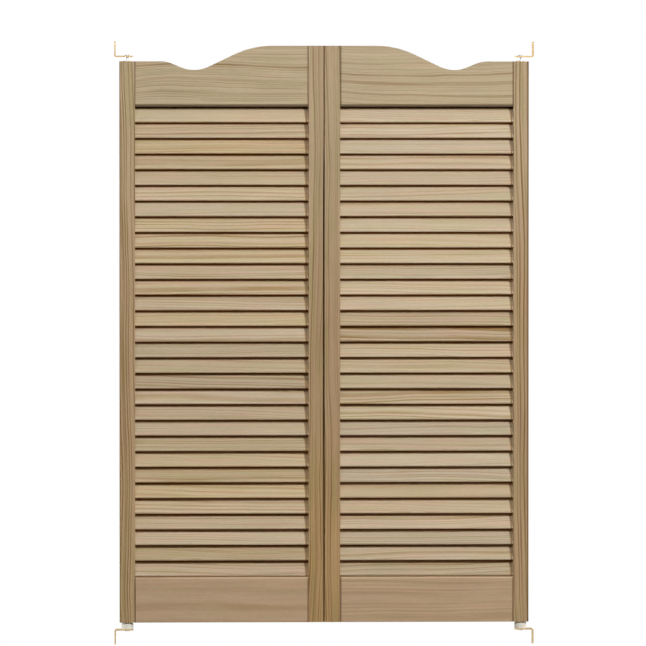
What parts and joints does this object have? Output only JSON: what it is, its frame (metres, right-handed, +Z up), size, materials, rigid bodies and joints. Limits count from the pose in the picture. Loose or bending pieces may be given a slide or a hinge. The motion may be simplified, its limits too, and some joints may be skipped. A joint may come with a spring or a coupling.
{
  "type": "pair of louvred cafe doors",
  "caption": "Pair of half-height louvred pine doors with a scalloped top that rises to the meeting edge, each swinging both ways on gravity pivots between two jambs.",
  "frame": {"origin": "centre of the foot of the bounding box: on the centre line between the leaves, level with the feet of the bottom jamb brackets", "axes": "+X across the opening to the right, -Y out of the front face, +Z up"},
  "size_m": [0.7766, 0.0286, 1.1157],
  "materials": {
    "pine_stile": "unfinished sanded pine, straight grain along the piece",
    "pine_rail": "unfinished sanded pine, gently wavy grain along the piece",
    "pine_louvre": "unfinished planed pine slat, flame grain",
    "beech_dowel": "turned and glued",
    "satin_brass": "satin",
    "screw_brass": "satin",
    "pin_steel": "turned, zinc plated",
    "nylon": "moulded, matt"
  },
  "bodies": {
    "jamb_hardware": {"left_top_jamb_bracket": "satin_brass", "left_top_pivot_pin": "pin_steel", "left_bottom_jamb_bracket": "satin_brass", "left_bottom_pivot_pin": "pin_steel", "left_lower_cam": "nylon", "right_top_jamb_bracket": "satin_brass", "right_top_pivot_pin": "pin_steel", "right_bottom_jamb_bracket": "satin_brass", "right_bottom_pivot_pin": "pin_steel", "right_lower_cam": "nylon"},
    "left_door": {"left_hinge_stile": "pine_stile", "left_meeting_stile": "pine_stile", "left_top_rail": "pine_rail", "left_bottom_rail": "pine_rail", "left_top_dowels": "beech_dowel", "left_bottom_dowels": "beech_dowel", "left_louvres_01": "pine_louvre", "left_louvres_02": "pine_louvre", "left_louvres_03": "pine_louvre", "left_louvres_04": "pine_louvre", "left_louvres_05": "pine_louvre", "left_louvres_06": "pine_louvre", "left_louvres_07": "pine_louvre", "left_louvres_08": "pine_louvre", "left_louvres_09": "pine_louvre", "left_louvres_10": "pine_louvre", "left_top_pivot_plate": "satin_brass", "left_top_plate_screws": "screw_brass", "left_top_bushing": "nylon", "left_upper_cam": "nylon", "left_bottom_pivot_plate": "satin_brass", "left_bottom_plate_screws": "screw_brass"},
    "right_door": {"right_hinge_stile": "pine_stile", "right_meeting_stile": "pine_stile", "right_top_rail": "pine_rail", "right_bottom_rail": "pine_rail", "right_top_dowels": "beech_dowel", "right_bottom_dowels": "beech_dowel", "right_louvres_01": "pine_louvre", "right_louvres_02": "pine_louvre", "right_louvres_03": "pine_louvre", "right_louvres_04": "pine_louvre", "right_louvres_05": "pine_louvre", "right_louvres_06": "pine_louvre", "right_louvres_07": "pine_louvre", "right_louvres_08": "pine_louvre", "right_louvres_09": "pine_louvre", "right_louvres_10": "pine_louvre", "right_top_pivot_plate": "satin_brass", "right_top_plate_screws": "screw_brass", "right_top_bushing": "nylon", "right_upper_cam": "nylon", "right_bottom_pivot_plate": "satin_brass", "right_bottom_plate_screws": "screw_brass"}
  },
  "joints": [
    {"name": "left_door_swing", "type": "hinge", "parent": "jamb_hardware", "child": "left_door", "pos_m": [-0.3645, 0, 0.0412], "axis": [0, 0, 1], "range_deg": [-90, 90], "stiffness_Nm_per_rad": 0.13},
    {"name": "right_door_swing", "type": "hinge", "parent": "jamb_hardware", "child": "right_door", "pos_m": [0.3645, 0, 0.0412], "axis": [0, 0, -1], "range_deg": [-90, 90], "stiffness_Nm_per_rad": 0.13}
  ]
}
